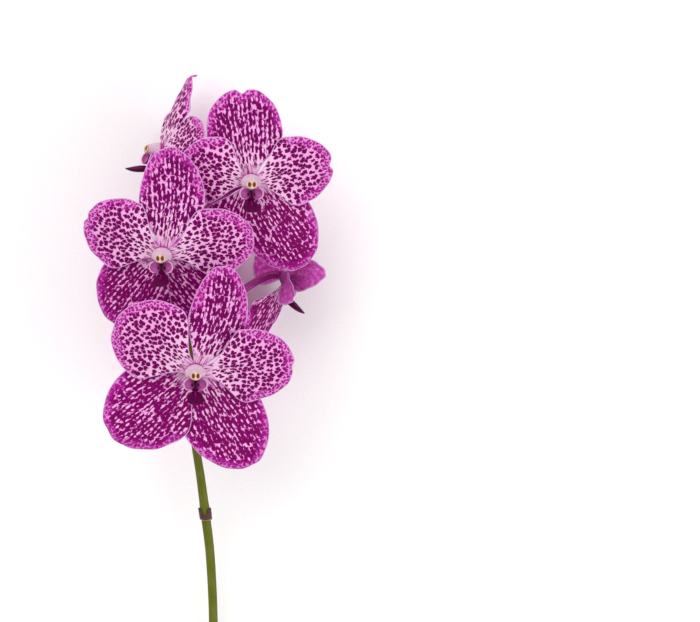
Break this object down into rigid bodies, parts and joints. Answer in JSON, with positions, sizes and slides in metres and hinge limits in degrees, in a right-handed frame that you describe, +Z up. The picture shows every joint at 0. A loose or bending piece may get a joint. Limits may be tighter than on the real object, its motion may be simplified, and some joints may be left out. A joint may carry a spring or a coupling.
{
  "type": "vanda orchid flower spike",
  "caption": "Cut vanda orchid spike lying on a surface: a green stem with broad flat magenta blooms spotted on pale net, each with column, lip and ribbed stalk.",
  "frame": {"origin": "the middle of the spike's box, on the surface that it lies on", "axes": "+Y runs along the spike from the cut end of the stem to the uppermost bloom, +Z is up and the way the front blooms face, +X is to the right as the front blooms are seen"},
  "size_m": [0.1245, 0.3678, 0.0938],
  "materials": {
    "stem": "living green flower stalk, satin",
    "bract": "dry papery brown scale",
    "tepal": "fleshy petal, dark magenta spots on a pale pink net",
    "column": "waxy pale pink",
    "anther_cap": "waxy cream",
    "lip": "fleshy dark purple, paler side lobes",
    "pedicel": "ribbed mauve flower stalk"
  },
  "bodies": {
    "root": {"stem": "stem", "sheath_bract": "bract", "bloom_1_tepals": "tepal", "bloom_1_column": "column", "bloom_1_anther_cap": "anther_cap", "bloom_1_lip": "lip", "bloom_1_pedicel": "pedicel", "bloom_2_tepals": "tepal", "bloom_2_column": "column", "bloom_2_anther_cap": "anther_cap", "bloom_2_lip": "lip", "bloom_2_pedicel": "pedicel", "bloom_3_tepals": "tepal", "bloom_3_column": "column", "bloom_3_anther_cap": "anther_cap", "bloom_3_lip": "lip", "bloom_3_pedicel": "pedicel", "bloom_4_tepals": "tepal", "bloom_4_column": "column", "bloom_4_anther_cap": "anther_cap", "bloom_4_lip": "lip", "bloom_4_pedicel": "pedicel", "bloom_5_tepals": "tepal", "bloom_5_column": "column", "bloom_5_anther_cap": "anther_cap", "bloom_5_lip": "lip", "bloom_5_pedicel": "pedicel", "bloom_6_tepals": "tepal", "bloom_6_column": "column", "bloom_6_anther_cap": "anther_cap", "bloom_6_lip": "lip", "bloom_6_pedicel": "pedicel"}
  },
  "joints": []
}
